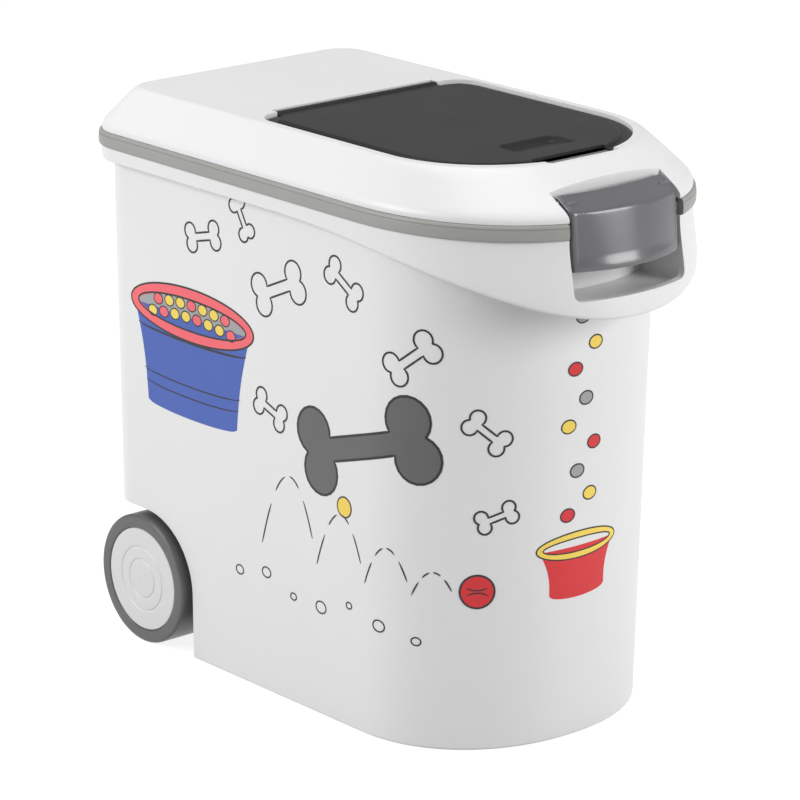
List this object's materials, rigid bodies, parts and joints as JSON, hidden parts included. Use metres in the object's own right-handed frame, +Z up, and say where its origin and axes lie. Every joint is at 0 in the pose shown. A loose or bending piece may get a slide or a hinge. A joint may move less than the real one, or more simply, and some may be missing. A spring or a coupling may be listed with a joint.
{
  "type": "wheeled pet food bin",
  "caption": "Tall storage bin for dry pet food, with a sealed hinged lid, a smaller pouring flap, a front latch over a carrying chin, and rear wheels.",
  "frame": {"origin": "on the floor, under the middle of the box round the bin", "axes": "+X across the width, +Y from the latch at the front to the wheels and lid hinge at the rear, +Z up"},
  "size_m": [0.2776, 0.4934, 0.45],
  "materials": {
    "tub_white": "smooth satin-gloss white polypropylene with a printed side",
    "lid_white": "smooth satin-gloss white polypropylene",
    "seal_grey": "light warm grey soft sealing profile",
    "flap_dark": "satin anthracite plastic",
    "latch_grey": "glossy mid-grey plastic",
    "wheel_grey": "satin dark grey plastic",
    "cap_white": "satin white plastic with turned rings",
    "pin_steel": "plain drawn steel"
  },
  "bodies": {
    "tub": {"tub": "tub_white", "seal_band": "seal_grey", "wheel_pin_left": "pin_steel", "wheel_pin_right": "pin_steel", "wheel_clip_left": "pin_steel", "wheel_clip_right": "pin_steel", "lid_hinge_pin_left": "pin_steel", "lid_hinge_pin_right": "pin_steel"},
    "lid": {"lid": "lid_white", "flap_hinge_pin_left": "pin_steel", "flap_hinge_pin_right": "pin_steel", "latch_pin_left": "pin_steel", "latch_pin_right": "pin_steel"},
    "flap": {"flap": "flap_dark"},
    "flap_catch": {"flap_catch": "latch_grey"},
    "front_latch": {"front_latch": "latch_grey"},
    "wheel_left": {"wheel_left": "wheel_grey", "hub_cap_left": "cap_white"},
    "wheel_right": {"wheel_right": "wheel_grey", "hub_cap_right": "cap_white"}
  },
  "joints": [
    {"name": "lid_hinge", "type": "hinge", "parent": "tub", "child": "lid", "pos_m": [0, 0.24215, 0.4239], "axis": [-1, 0, 0], "range_deg": [0, 100]},
    {"name": "flap_hinge", "type": "hinge", "parent": "lid", "child": "flap", "pos_m": [0, 0.0716, 0.4459], "axis": [-1, 0, 0], "range_deg": [0, 98]},
    {"name": "catch_slide", "type": "slide", "parent": "lid", "child": "flap_catch", "axis": [0, -1, 0], "range_m": [0, 0.0045], "stiffness_N_per_m": 400},
    {"name": "latch_pivot", "type": "hinge", "parent": "lid", "child": "front_latch", "pos_m": [0, -0.2142, 0.429], "axis": [-1, 0, 0], "range_deg": [0, 70]},
    {"name": "wheel_left_spin", "type": "hinge", "parent": "tub", "child": "wheel_left", "pos_m": [-0.11, 0.187, 0.053], "axis": [1, 0, 0], "continuous": true},
    {"name": "wheel_right_spin", "type": "hinge", "parent": "tub", "child": "wheel_right", "pos_m": [0.11, 0.187, 0.053], "axis": [1, 0, 0], "continuous": true}
  ]
}
